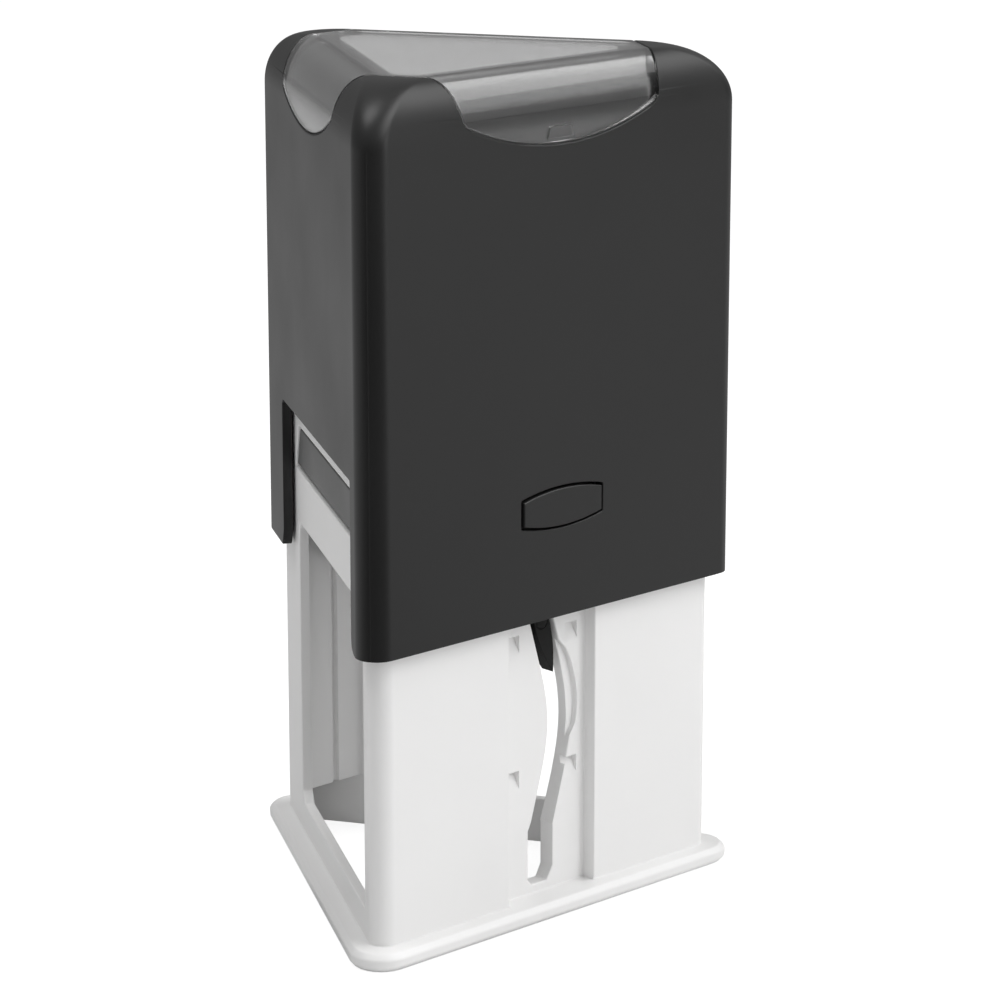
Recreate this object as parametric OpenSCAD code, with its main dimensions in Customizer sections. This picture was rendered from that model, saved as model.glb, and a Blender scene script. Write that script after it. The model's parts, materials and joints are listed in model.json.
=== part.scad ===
// Self-inking date stamp with a three-sided plan, in millimetres.
// The front face looks along -Y, the third corner points along +Y, and the base stands on z = 0.

/* [Plan] */
// Width of the housing's faces over their rounded corners
housing_width = 66.77; // [64:0.1:70]
// Corner radius of the housing's plan
housing_r = 2.9; // [2.5:0.1:4]
// Corner radius of the housing's plan at its flat top
housing_top_r = 4.6; // [4:0.1:6]
// Thickness of the housing wall
housing_wall = 1.4; // [1.2:0.05:1.6]
// Gap between the housing and the frame that slides in it
slide_gap = 0.4; // [0.35:0.05:0.6]
// Corner radius of the frame's plan
frame_r = 2.2; // [1.8:0.1:2.8]
// Thickness of the frame wall
frame_wall = 1.5; // [1.3:0.05:1.7]
// How far the base flange reaches beyond the housing
flange_reach = 1.0; // [0.6:0.1:1.6]
// Corner radius of the base flange's plan
flange_r = 4.4; // [3.8:0.1:5]
// Thickness of the base flange
flange_t = 2.5; // [2.1:0.1:3]
// Rounding of the flange's edges
flange_edge = 0.7; // [0.4:0.1:0.9]

/* [Heights] */
// Travel of the housing from rest to print
travel = 35.0; // [34:0.1:36]
// Distance from the flip axle to the printing face
die_h = 8.9; // [8.7:0.05:9.2]
// Height of the housing's lower edge when it is pressed down
low_stop = 7.4; // [6.8:0.1:8]
// Height of the ink pad tray
pad_h = 5.5; // [5:0.1:6]
// Frame bar above the pad slot
top_bar = 3.85; // [3.5:0.05:4.6]
// Frame band between the side window and the pad slot
mid_band = 7.5; // [6.8:0.1:8.2]
// Room from the pressed frame's top to the housing's flat top
head_room = 15.5; // [15:0.1:16.2]
// Lock button's height above the housing's lower edge
button_rise = 15.1; // [14:0.1:16]
// How far the frame's top stands above the housing's side notch
notch_cover = 0.5; // [0.3:0.1:1]

/* [Top and index window] */
// Width of the rounded top edge
dome_a = 4.8; // [4.4:0.1:5.2]
// Height of the rounded top edge
dome_b = 7.9; // [7.4:0.1:8.4]
// Thickness of the clear index window
window_t = 1.4; // [1.2:0.05:1.5]
// Gap round the index window
window_gap = 0.25; // [0.2:0.05:0.35]
// Gap under the index window
window_under = 0.15; // [0.1:0.05:0.25]
// How far the window stops short of the housing's sharp corners
corner_cut = 15.7; // [15:0.1:16.4]
// Depth of each window lip's lowest point below the flat top
lip_drop = 9.9; // [9.5:0.1:10.2]
// Radius of each lip's lower edge
lip_arc = 41; // [38:0.5:45]
// Thickness of the index card
card_t = 0.3; // [0.25:0.05:0.35]
// How far the index card's edges lie inside the housing's faces
card_inset = 8.0; // [7.4:0.1:8.8]
// Gap round the index card
card_gap = 0.15; // [0.1:0.05:0.25]
// Thickness of the housing's roof under the card
roof_t = 1.3; // [1.2:0.05:1.5]
// Thickness of the housing's wall behind the window's lips
crown_wall = 1.2; // [1:0.05:1.3]
// Height of the step where the inner wall grows thicker
crown_step = 1.2; // [1:0.05:1.3]

/* [Side openings] */
// Width of the frame's rear posts beside the side windows
rear_post = 13.89; // [13.4:0.1:14.8]
// Width of the frame's front posts beside the side openings
front_post = 5.99; // [5.8:0.05:6.2]
// Height of the side window's sill above the flange
side_sill = 4.0; // [3.5:0.1:4.6]
// Corner cut of the side window
side_cut = 1.6; // [1.2:0.1:2]
// Width of the housing's rear legs beside its side notches
rear_leg = 14.91; // [14.4:0.1:15.5]
// Width of the housing's front legs beside its side notches
front_leg = 7.71; // [7.3:0.1:8.1]
// Chamfer at the foot of the housing's rear leg
leg_chamfer = 1.2; // [0.8:0.1:1.6]
// How far the rear leg ends above the housing's front edge
leg_lift = 1.4; // [1:0.1:1.8]
// Rounding at the foot of the housing's front legs
leg_r = 1.8; // [1.4:0.1:2.2]
// Length of the pad slot beyond the side window at its foot
pad_slot_lean = 2.2; // [1.8:0.1:2.6]

/* [Front channel and cam slot] */
// Half width of the front channel
channel_hw = 8.0; // [7.8:0.05:8.3]
// Depth of the front channel
channel_d = 2.0; // [1.9:0.05:2.1]
// Thickness of the channel floor
floor_t = 2.4; // [2.3:0.05:2.5]
// Half width of the cam slot
slot_hw = 2.05; // [2:0.05:2.15]
// How far the cam slot's foot widens to the left
slot_foot_side = 0.5; // [0.45:0.05:0.6]
// Corner cut at the left of the cam slot's foot
slot_foot_cut = 0.8; // [0.6:0.05:0.85]
// Eccentricity of the crank pin
crank_e = 3.2; // [3.1:0.05:3.25]
// Depth of the shallow recess beside the cam slot
recess_d = 0.8; // [0.6:0.05:0.9]
// Width of the shallow recess beside the cam slot
recess_w = 1.5; // [1.2:0.1:1.8]
// Half length of the cam shoe
shoe_l = 7.8; // [7.4:0.1:7.9]
// Half width of the cam shoe
shoe_hw = 1.4; // [1.35:0.05:1.45]
// Gap between the cam shoe and the channel floor's two faces
shoe_gap = 0.1; // [0.05:0.05:0.2]
// Centre distance of the lock notches from the middle
lock_x = 5.4; // [5.2:0.05:5.5]
// Width of a lock notch
lock_w = 2.2; // [2.1:0.05:2.3]
// Height of a lock notch
lock_h = 2.4; // [2.3:0.05:2.5]
// Depth of a lock notch at its top
lock_d = 1.3; // [1.2:0.05:1.5]
// Distance between the middle and the lowest row of lock notches
lock_step = 19.1; // [18.5:0.1:19.7]
// Width of the guide feet inside the housing's front
foot_w = 3.0; // [2.6:0.1:3.2]
// Height of the guide feet inside the housing's front
foot_h = 7.4; // [7:0.1:8]

/* [Lock button] */
// Half width of the lock button
button_hw = 7.2; // [7:0.05:7.3]
// Half height of the lock button at its ends
button_he = 1.65; // [1.5:0.05:1.8]
// Half height of the lock button in its middle
button_hm = 2.55; // [2.4:0.05:2.7]
// How far the button stands out of the front face
button_proud = 0.2; // [0.1:0.05:0.3]
// Thickness of the flange behind the button
button_flange = 0.6; // [0.5:0.05:0.65]
// How far the flange reaches above and below the button
button_lap = 1.8; // [1.7:0.1:2]
// Distance of the button's prongs below its middle
prong_drop = 3.2; // [3:0.05:3.4]
// How far the button goes in when it is pressed
button_throw = 1.2; // [1.1:0.05:1.25]

/* [Clearances] */
// Gap between moving parts that pass each other
part_gap = 0.3; // [0.25:0.05:0.35]
// Gap between the guide feet and the channel
foot_gap = 0.4; // [0.35:0.05:0.5]
// Running clearance of the journals
fit_gap = 0.05; // [0.03:0.01:0.08]
// Clearance of fixed pins in their holes
seat_gap = 0.02; // [0.01:0.01:0.03]
// Gap between the printing plate's highest reach and the pad
pad_clear = 0.75; // [0.7:0.05:0.95]
// Gap under the pad tray in its slot
pad_under = 0.6; // [0.4:0.05:0.8]
// Gap over the pad tray in its slot
pad_over = 0.4; // [0.3:0.05:0.5]
// Gap round the yoke's arms where they pass the frame's roof
arm_slot = 0.4; // [0.35:0.05:0.6]

/* [Flip mechanism] */
// Thickness of the yoke's arms
arm_t = 1.3; // [1.2:0.05:1.4]
// Half width of the yoke's front arm
arm_hw = 4.5; // [4:0.1:5]
// Radius of the crank disc
disc_r = 5.0; // [4.9:0.05:5.1]
// Wall of the bearing ring round the crank disc
ring_wall = 1.5; // [1.3:0.05:1.6]
// Radius of the crank pin
pin_r = 1.0; // [0.9:0.05:1.1]
// Radius of the rear journal
journal_r = 1.5; // [1.4:0.05:1.6]
// Wall of the bearing ring round the rear journal
rear_ring_wall = 1.4; // [1.2:0.05:1.5]
// Half width of the yoke's rear arm
rear_hw = 2.6; // [2.4:0.1:2.8]
// Distance of the rear arm from the frame's sharp inner rear corner
rear_room = 10.4; // [10.2:0.05:10.6]
// Thickness of the yoke's bridge
bridge_t = 1.8; // [1.6:0.1:2]
// Height of the boss between the bridge and the housing's roof
bridge_boss = 1.1; // [1:0.1:1.4]
// Thickness of the web across the frame's rear corner
web_t = 1.4; // [1.2:0.1:1.5]
// Height of the rear web's foot above the side windows' sill
web_rise = 1.1; // [0.8:0.1:1.5]
// Width of the groove down the middle of the rear web
groove_w = 1.0; // [0.8:0.1:1.2]
// Depth of the groove down the middle of the rear web
groove_d = 0.7; // [0.5:0.05:0.8]

/* [Printing plate] */
// Corner radius of the printing plate
die_r = 3.5; // [3.2:0.1:4]
// Thickness of the rubber text die
die_t = 1.6; // [1.4:0.1:1.8]
// Thickness of the foam cushion behind the die
cushion_t = 1.0; // [0.8:0.1:1.2]
// Thickness of the carrier's plate
plate_t = 1.7; // [1.5:0.1:1.9]
// Thickness of the carrier's end walls
end_t = 1.5; // [1.4:0.1:1.7]
// Half width of the carrier's front end wall
front_wall_hw = 6.0; // [5.5:0.1:6.5]
// Depth of the front end wall below the flip axle
front_wall_drop = 5.4; // [5.1:0.1:5.6]
// Half width of the carrier's rear end wall
rear_wall_hw = 3.0; // [2.8:0.1:3.2]
// Depth of the rear end wall below the flip axle
rear_wall_drop = 3.0; // [2.6:0.1:3.4]

/* [Date bands] */
// Rubber left beside the opening for the date bands
plate_edge = 1.4; // [1.2:0.05:1.8]
// How far the date bands sit in front of the centre line
date_fore = 3.0; // [2.8:0.1:3.3]
// Gap at each end of the row of date bands
row_gap = 0.8; // [0.6:0.05:0.9]
// Half width of the opening for the date bands
band_open_y = 4.0; // [3.9:0.05:4.2]
// Distance of the date axle behind the flip axle
date_drop = 1.6; // [1.5:0.05:1.65]
// Radius of the date axle
date_axle_r = 1.2; // [1.1:0.05:1.3]
// Radius of each date wheel's drum
drum_r = 4.4; // [4.2:0.05:4.5]
// Radius of each date wheel's thumb rim
rim_r = 6.0; // [5.8:0.1:6.2]
// Depth of the thumb rim's teeth
rim_tooth = 0.5; // [0.4:0.05:0.6]
// Thickness of the thumb rim
rim_t = 0.9; // [0.8:0.05:1]
// Teeth on a thumb rim
rim_teeth = 12; // [10:1:16]
// Thickness of a date band
band_t = 0.6; // [0.5:0.05:0.7]
// Gap between a drum and its band
band_gap = 0.35; // [0.3:0.05:0.4]
// Gap between a band and the thumb rim beside it
band_side = 0.15; // [0.1:0.05:0.2]
// Radius of the band where it turns over the bridge
band_top_r = 2.3; // [2.2:0.05:2.5]
// Share of the row that the day band takes
day_part = 0.26; // [0.24:0.01:0.28]
// Share of the row that the month band takes
month_part = 0.38; // [0.36:0.01:0.4]
// Share of the row that the decade band takes
decade_part = 0.18; // [0.16:0.01:0.19]
// Gap between date wheels
wheel_gap = 0.25; // [0.2:0.05:0.28]
// Thickness of the cheeks that hold the date axle
cheek_t = 1.2; // [1:0.1:1.4]
// Gap between a cheek and the openings beside it
cheek_gap = 0.2; // [0.15:0.05:0.25]
// How far each cheek is narrower than its opening, on each side
cheek_in = 0.6; // [0.4:0.1:0.8]

/* [Ink pad] */
// Wall of the pad tray
tray_wall = 1.3; // [1.1:0.1:1.5]
// Thickness of the tray's top
tray_top = 1.5; // [1.3:0.1:1.7]
// How far the tray's end sits behind the frame's outer face
tray_sink = 0.2; // [0.1:0.05:0.4]
// Gap between the tray's end plate and the rear end of its slot
tray_end = 0.5; // [0.4:0.05:0.7]
// Gap between the felt and the tray
felt_gap = 0.1; // [0.05:0.05:0.2]
// Depth of the felt's face behind the tray's rim
felt_sink = 0.2; // [0.1:0.05:0.3]

/* [Return spring] */
// Mean radius of the return spring
spring_r = 7.6; // [7.2:0.1:8]
// Radius of the spring wire
wire_r = 0.45; // [0.4:0.05:0.5]
// Turns of the return spring
spring_turns = 7; // [6:1:8]
// Height of the boss that centres the spring
boss_h = 2.0; // [1.6:0.1:2.6]
// Rim of the bridge outside the spring
spring_rim = 1.6; // [1.2:0.1:1.8]

/* [Hidden] */
arc_n = 8;
dome_n = 7;
rt3 = sqrt(3);
housing_rho = (housing_width / 2 - housing_r) / rt3 + housing_r;
sink = 0.3;
frame_rho = housing_rho - housing_wall - slide_gap;
inner_rho = frame_rho - frame_wall;
inner_r = max(0.3, frame_r - frame_wall);
base_rho = housing_rho + flange_reach;
mid_y = (base_rho - flange_r) / 2;
floor_y = channel_d - frame_rho;
floor_in = floor_y + floor_t;
arm_y = floor_in + part_gap;
arm_back = arm_y + arm_t;
die_rho = -arm_back - arm_slot;
rear_y = 2 * inner_rho - rear_room;
axle_z = travel + die_h;
die_corner = rt3 * (die_rho - die_r) + die_r;
die_reach = max([for (p = [0 : 2 : 90]) die_h * cos(p) + die_corner * sin(p) - travel * p / 180]);
pad_low = axle_z + die_reach + pad_clear;
pad_top = pad_low + pad_h;
pad_slot_low = pad_low - pad_under;
pad_slot_top = pad_top + pad_over;
side_low = flange_t + side_sill;
side_top = pad_slot_low - mid_band;
frame_top = pad_slot_top + top_bar;
house_low = travel + low_stop;
notch_top = frame_top - notch_cover;
top_z = frame_top + travel + head_room;
button_z = house_low + button_rise;
prong_z = button_z - prong_drop;
pocket_t = window_t + window_under;
card_z = top_z - pocket_t - card_t;
house_roof = card_z - roof_t;
cavity_rho = housing_rho - housing_wall;
cavity_r = housing_r - housing_wall;
cavity_step = frame_top + travel + part_gap;
crown_rho = housing_rho - pocket_t - crown_wall;
window_corner = 2 * housing_rho - corner_cut;
card_rho = housing_rho - card_inset;
side_win_a = rt3 * frame_rho - rear_post;
side_win_b = rt3 * frame_rho - front_post;
notch_a = rt3 * housing_rho - rear_leg;
notch_b = rt3 * housing_rho - front_leg;
bridge_top = house_roof - bridge_boss;
bridge_low = bridge_top - bridge_t;
ring_r = disc_r + fit_gap + ring_wall;
rear_ring_r = journal_r + fit_gap + rear_ring_wall;
rear_back = rear_y + arm_t;
plate_top = axle_z + die_h - die_t - cushion_t;
plate_low = plate_top - plate_t;
date_front = -date_fore - band_open_y;
date_rear = band_open_y - date_fore;
die_open_x = side_x(die_rho - plate_edge, date_rear);
cheek_x = die_open_x - cheek_gap - cheek_t;
band_open_x = cheek_x - cheek_gap;
row_w = 2 * (band_open_x - row_gap) - 4 * rim_t - 3 * wheel_gap;
day_w = day_part * row_w;
month_w = month_part * row_w;
decade_w = decade_part * row_w;
year_w = row_w - day_w - month_w - decade_w;
date_z = axle_z - date_drop;
band_end_z = axle_z + die_h - band_top_r;
band_r = drum_r + band_gap + band_t;
band_lean = asin((band_r - band_top_r) / (band_end_z - date_z));
day_x = row_gap - band_open_x;
month_x = day_x + day_w + rim_t + wheel_gap;
decade_x = month_x + month_w + rim_t + wheel_gap;
year_x = decade_x + decade_w + rim_t + wheel_gap;
slot_tilt = atan(crank_e * PI / travel);
pin_z = axle_z - crank_e;
tray_rho = frame_rho - tray_sink;
tray_in = inner_rho - slide_gap;
tray_front = -die_rho;
tray_rear = rear_y - 2 * foot_gap;
plate_in = inner_rho + tray_sink;
plate_s = pad_slot_end(pad_slot_low);
rear_wall_y = 2 * (die_rho - die_r) - end_t;
white = [0.9, 0.9, 0.89];
black = [0.05, 0.05, 0.055];
dark_grey = [0.2, 0.2, 0.21];
rubber = [0.16, 0.1, 0.09];
steel = [0.7, 0.71, 0.73];

// Unit direction at an angle
function turn(a) = [cos(a), sin(a)];

// Points of a three-sided plan with rounded corners
function tri_points(rho, r) = [for (k = [0 : 2]) for (i = [0 : arc_n]) tri_point(rho, r, 90 + 120 * k, i)];
function tri_point(rho, r, c, i) = 2 * (rho - r) * turn(c) + r * turn(c - 60 + 120 * i / arc_n);

// Rings of a rounded top edge, each as distance to face, corner radius and height
function dome(rho, r, r_top, z, a, b) = [for (i = [0 : dome_n])
    dome_ring(rho, r, r_top - r, z, a, b, 90 * i / dome_n)];
function dome_ring(rho, r, grow, z, a, b, p) = [rho - a * (1 - cos(p)), r + grow * (1 - cos(p)),
    z - b * (1 - sin(p))];

// Outer form of the housing, set in by t
function outer_rings(t, low) = concat([[housing_rho - t, housing_r - t, low]], outer_dome(t));
function outer_dome(t) = dome(housing_rho - t, housing_r - t, housing_top_r - t, top_z - t, dome_a, dome_b);

// Crank pin path on the channel floor, its direction and its side
function cam_point(p) = [crank_e * sin(p), axle_z - travel * p / 180 - crank_e * cos(p)];
function cam_slope(p) = [crank_e * cos(p), crank_e * sin(p) - travel / PI];
function cam_side(p) = [-cam_slope(p)[1], cam_slope(p)[0]] / norm(cam_slope(p));
function cam_edge(w) = [for (p = [0 : 10 : 180]) cam_point(p) + w * cam_side(p)];
function cam_ahead(p, d, w) = cam_point(p) + d * cam_slope(p) / norm(cam_slope(p)) + w * cam_side(p);
function reversed(v) = [for (i = [len(v) - 1 : -1 : 0]) v[i]];

// Outline with straight ends and bowed long sides
function barrel(hw, he, hm) = concat(bow(hw, he, hm, 1), bow(hw, he, hm, -1));
function bow(hw, he, hm, s) = [for (i = [-6 : 6]) s * [-hw * i / 6, hm - (hm - he) * i * i / 36]];

// Outline of a band loop round the drum and the bridge
function loop(r_big, r_small) = concat(loop_arc(band_end_z, r_small, band_lean, 180 - band_lean),
    loop_arc(date_z, r_big, 180 - band_lean, 360 + band_lean));
function loop_arc(z, r, a, b) = [for (i = [0 : 12]) [0, z] + r * turn(a + (b - a) * i / 12)];

// Plan of a plate between the two rear faces, and of the felt in the pad tray
function side_x(rho, y) = (2 * rho - y) / rt3;
function rear_plan(left, right, y0, y1) = [[-side_x(left, y0), y0], [side_x(right, y0), y0],
    [side_x(right, y1), y1], [-side_x(left, y1), y1]];
function felt_plan(g) = rear_plan(tray_rho - 2 * tray_wall - g, tray_in - tray_wall - g,
    tray_front + tray_wall + g, tray_rear - tray_wall - g);

// Plan of the pad tray with the plate that fills the rear of its slot
function tray_outline() = concat(rear_plan(plate_in, tray_in, tray_front, tray_rear),
    [left_face(plate_in, plate_s), left_face(tray_rho, plate_s)],
    [[-side_x(tray_rho, tray_front), tray_front]]);
function left_face(n, s) = [s - rt3 * n, n + rt3 * s] / 2;

// Rear end of the pad slot at a height
function pad_slot_end(z) = side_win_a + pad_slot_lean
    - (pad_slot_lean + sink) * (z - pad_slot_low) / (pad_slot_top - pad_slot_low);

// Outline of a thumb rim
function rim_outline() = [for (i = [0 : 4 * rim_teeth - 1])
    (rim_r - (i % 4 < 2 ? 0 : rim_tooth)) * turn(90 * (i + 0.5) / rim_teeth)];

// Points and faces of the spring wire
function coil_point(a, z, b) = concat((spring_r + wire_r * cos(b)) * turn(a), [z + wire_r * sin(b)]);
function coil_low(o, k, j) = [o + j, o + k + j, o + k + (j + 1) % k];
function coil_high(o, k, j) = [o + j, o + k + (j + 1) % k, o + (j + 1) % k];

// Puts the middle of the base on the origin
module centred() {
    translate([0, -mid_y, 0]) children();
}

module tri(rho, r, z0, z1) {
    translate([0, 0, z0]) linear_extrude(z1 - z0) polygon(tri_points(rho, r));
}

// Closed form through three-sided rings, from the lowest up
module loft(rings) {
    n = 3 * (arc_n + 1);
    m = len(rings);
    pts = [for (q = rings) for (p = tri_points(q[0], q[1])) [p[0], p[1], q[2]]];
    under = [[for (i = [0 : n - 1]) i]];
    over = [[for (i = [0 : n - 1]) m * n - 1 - i]];
    sides = [for (k = [0 : m - 2]) for (i = [0 : n - 1]) let (j = (i + 1) % n)
        [k * n + i, k * n + n + i, k * n + n + j, k * n + j]];
    polyhedron(pts, concat(under, over, sides));
}

module box(x0, x1, y0, y1, z0, z1) {
    translate([x0, y0, z0]) cube([x1 - x0, y1 - y0, z1 - z0]);
}

// A plate standing on a face, from distance n0 to n1 out from the centre line
module face_prism(n0, n1) {
    translate([0, -n0, 0]) rotate([90, 0, 0]) linear_extrude(n1 - n0) children();
}

// The same shape on the left and right rear faces
module both_sides() {
    rotate([0, 0, 120]) children();
    mirror([1, 0, 0]) rotate([0, 0, 120]) children();
}

module both_halves() {
    children();
    mirror([1, 0, 0]) children();
}

// A shape drawn over Y and Z, from x0 to x1
module along_x(x0, x1) {
    translate([x0, 0, 0]) rotate([90, 0, 90]) linear_extrude(x1 - x0) children();
}

module disc(r, z0, z1) {
    translate([0, 0, z0]) cylinder(r = r, h = z1 - z0, $fn = 48);
}

module rod_y(r, x, z, y0, y1) {
    translate([x, y0, z]) rotate([-90, 0, 0]) cylinder(r = r, h = y1 - y0, $fn = 48);
}

module rod_x(r, z, x1) {
    translate([-x1, -date_fore, z]) rotate([0, 90, 0]) cylinder(r = r, h = 2 * x1, $fn = 48);
}

// White frame with its base flange
module base_frame() {
    color(white) centred() difference() {
        union() {
            frame_shell();
            box(-channel_hw - floor_t, channel_hw + floor_t, sink - frame_rho, floor_in, 0, frame_top);
            rear_web();
            disc(spring_r - 2 * wire_r, frame_top - sink, frame_top + boss_h);
        }
        box(-channel_hw, channel_hw, -base_rho - 1, floor_y, flange_t, frame_top + 1);
        face_prism(-floor_in - 1, frame_rho) cam_slot();
        face_prism(-floor_y - recess_d, frame_rho) cam_recess();
        for (z = [prong_z, prong_z - travel + lock_step, prong_z - travel]) lock_notches(z);
        both_sides() face_prism(inner_rho - web_t, frame_rho + 1) side_window();
        both_sides() face_prism(inner_rho - web_t, frame_rho + 1) pad_slot();
        roof_slot(arm_hw + arm_slot, floor_in - sink, arm_back + arm_slot);
        roof_slot(rear_hw + arm_slot, rear_y - arm_slot, rear_back + arm_slot);
    }
}

module frame_shell() {
    low_rho = base_rho - flange_edge;
    low_r = flange_r - flange_edge;
    difference() {
        union() {
            loft([[low_rho, low_r, 0], [base_rho, flange_r, flange_edge],
                [base_rho, flange_r, flange_t - flange_edge], [low_rho, low_r, flange_t]]);
            tri(frame_rho, frame_r, flange_t / 2, frame_top);
        }
        tri(inner_rho, inner_r, -1, frame_top - frame_wall);
    }
}

module roof_slot(hw, y0, y1) {
    box(-hw, hw, y0, y1, frame_top - 2 * frame_wall, frame_top + 1);
}

// Web between the two rear walls, behind the yoke's rear arm
module rear_web() {
    y0 = rear_back + arm_slot + sink;
    rho = inner_rho + frame_wall / 2;
    z0 = side_low + web_rise;
    difference() {
        slab(z0, frame_top - sink) polygon(rear_plan(rho, rho, y0, y0 + web_t));
        box(-groove_w / 2, groove_w / 2, y0 - 1, y0 + groove_d, z0 - 1, frame_top);
    }
}

module cam_slot() {
    long = shoe_l + 2 * part_gap;
    short = shoe_l - 2 * part_gap;
    w = slot_hw;
    wl = -slot_hw - slot_foot_side;
    c = slot_foot_cut;
    z0 = die_h + crank_e - long;
    z1 = z0 + slot_hw;
    z2 = die_h + crank_e - 2 * part_gap;
    low = [[w, z2], [w, z1], [w / 2, z0], [wl + c, z0], [wl, z0 + c], [wl, z2]];
    top_l = [cam_ahead(0, -short, -w), cam_ahead(0, -long, -w / 2)];
    top_r = [cam_ahead(0, -long, w / 2), cam_ahead(0, -short, w)];
    polygon(concat(cam_edge(w), low, reversed(cam_edge(-w)), top_l, top_r));
}

module cam_recess() {
    steps = [for (p = [20 : 10 : 110]) p];
    far = [for (p = steps) cam_point(p) + (slot_hw + recess_w * sqrt(sin(2 * p - 40))) * cam_side(p)];
    polygon(concat([for (p = steps) cam_point(p)], reversed(far)));
}

// Pair of notches, deep at the top and running out at the foot
module lock_notches(z) {
    x0 = lock_x - lock_w / 2;
    low = z - lock_h / 2;
    top = z + lock_h / 2;
    both_halves() along_x(x0, x0 + lock_w) polygon([[floor_y - 1, low], [floor_y, low],
        [floor_y + lock_d, top], [floor_y - 1, top]]);
}

module side_window() {
    a = side_win_a;
    c = side_cut;
    polygon([[-side_win_b, side_low], [a - c, side_low], [a, side_low + c], [a, side_top - c / 2],
        [a - c / 2, side_top], [-side_win_b, side_top]]);
}

module pad_slot() {
    polygon([[-side_win_b, pad_slot_low], [pad_slot_end(pad_slot_low), pad_slot_low],
        [pad_slot_end(pad_slot_top), pad_slot_top], [-side_win_b, pad_slot_top]]);
}

// Steel return spring between the frame's roof and the yoke
module return_spring() {
    seg = 16;
    k = 6;
    n = spring_turns * seg;
    z0 = frame_top + wire_r + seat_gap;
    rise = bridge_low - wire_r - seat_gap - z0;
    ring = [for (j = [0 : k - 1]) j];
    pts = [for (i = [0 : n]) for (j = ring) coil_point(360 * i / seg, z0 + rise * i / n, 360 * j / k)];
    one = [for (i = [0 : n - 1]) for (j = ring) coil_low(i * k, k, j)];
    two = [for (i = [0 : n - 1]) for (j = ring) coil_high(i * k, k, j)];
    last = [for (j = ring) n * k + k - 1 - j];
    color(steel) centred() polyhedron(pts, concat([ring], one, two, [last]));
}

// Black housing, the part that is pressed down
module housing() {
    color(black) centred() {
        difference() {
            loft(outer_rings(0, house_low));
            housing_cavity();
            difference() {
                window_region(window_gap);
                loft(outer_rings(pocket_t, house_low));
            }
            tri(card_rho + card_gap, housing_r, card_z, top_z);
            both_sides() face_prism(cavity_rho - 2, housing_rho + 1) side_notch();
            face_prism(cavity_rho - 1, housing_rho + 1) button_outline(part_gap);
        }
        both_halves() guide_foot();
    }
}

module housing_cavity() {
    walls = [[cavity_rho, cavity_r, house_low - 1], [cavity_rho, cavity_r, cavity_step],
        [crown_rho, 1, cavity_step + crown_step]];
    loft(concat(walls, dome(crown_rho, 1, 1.5, house_roof, dome_a, dome_b - 1)));
}

module guide_foot() {
    x1 = channel_hw - foot_gap;
    z0 = house_low + 2 * part_gap;
    box(x1 - foot_w, x1, -cavity_rho - sink, floor_y - foot_gap, z0, z0 + foot_h);
}

module side_notch() {
    a = notch_a;
    c = leg_chamfer;
    low = house_low - 1;
    foot = house_low + leg_lift;
    far = rt3 * housing_rho;
    knee = [-notch_b - leg_r, house_low + leg_r];
    round_foot = [for (t = [0 : -15 : -90]) knee + leg_r * turn(t)];
    polygon(concat([[-notch_b - leg_r, low], [far, low], [far, foot], [a + c, foot], [a, foot + 2 * c],
        [a, notch_top - c / 2], [a - c / 2, notch_top], [-notch_b, notch_top]], round_foot));
}

module button_outline(g) {
    translate([0, button_z]) polygon(barrel(button_hw + g, button_he + g, button_hm + g));
}

// Space of the clear window in the housing's top, grown by g
module window_region(g) {
    corners = [for (a = [30, 150, 270]) 2 * (window_corner + g) * turn(a)];
    intersection() {
        union() {
            for (a = [0, 120, 240]) rotate([0, 0, a]) lip_prism(g);
            tri(2 * housing_rho, 1, top_z - lip_drop / 2, top_z + 5);
        }
        slab(top_z - 2 * lip_drop, top_z + lip_drop) polygon(corners);
    }
}

module lip_prism(g) {
    r = lip_arc + g;
    z = top_z - lip_drop + lip_arc;
    w = (window_corner - housing_rho / 2) * 1.2;
    arc = [for (i = [-14 : 14]) let (s = w * i / 14) [s, z - sqrt(r * r - s * s)]];
    head = [[w, top_z + lip_drop / 2], [-w, top_z + lip_drop / 2]];
    face_prism(window_corner / 2 + sink, housing_rho + lip_drop / 2) polygon(concat(arc, head));
}

// Clear window over the index card
module index_window() {
    color([0.8, 0.82, 0.84, 0.4]) centred() intersection() {
        difference() {
            loft(outer_rings(0, top_z - 2 * lip_drop));
            loft(outer_rings(window_t, top_z - 3 * lip_drop));
        }
        window_region(0);
    }
}

module index_card() {
    color([0.75, 0.75, 0.76]) centred() tri(card_rho, housing_r, card_z, card_z + card_t);
}

// Black yoke that carries the flipping plate
module yoke() {
    color(black) centred() difference() {
        union() {
            box(-arm_hw, arm_hw, arm_y, arm_back, axle_z, bridge_top);
            rod_y(ring_r, 0, axle_z, arm_y, arm_back);
            box(-rear_hw, rear_hw, rear_y, rear_back, axle_z, bridge_top);
            rod_y(rear_ring_r, 0, axle_z, rear_y, rear_back);
            box(sink - arm_hw, arm_hw - sink, arm_y + sink, rear_y + sink, bridge_low, bridge_top);
            disc(spring_r + spring_rim, bridge_low, bridge_top);
            disc(spring_r - spring_rim, bridge_low, house_roof - seat_gap);
        }
        rod_y(disc_r + fit_gap, 0, axle_z, arm_y - 1, arm_back + 1);
        rod_y(journal_r + fit_gap, 0, axle_z, rear_y - 1, rear_back + 1);
    }
}

// Lock button with its two prongs
module lock_button() {
    back = cavity_rho - part_gap;
    color(black) centred() {
        face_prism(back - sink, housing_rho + button_proud) button_outline(0);
        face_prism(back - button_flange, back) button_flange_outline();
        both_halves() button_prong(back - sink);
    }
}

module button_flange_outline() {
    w = 2 * button_hw - 2 * foot_gap;
    translate([0, button_z]) square([w, 2 * button_hm + 2 * button_lap], center = true);
}

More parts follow.
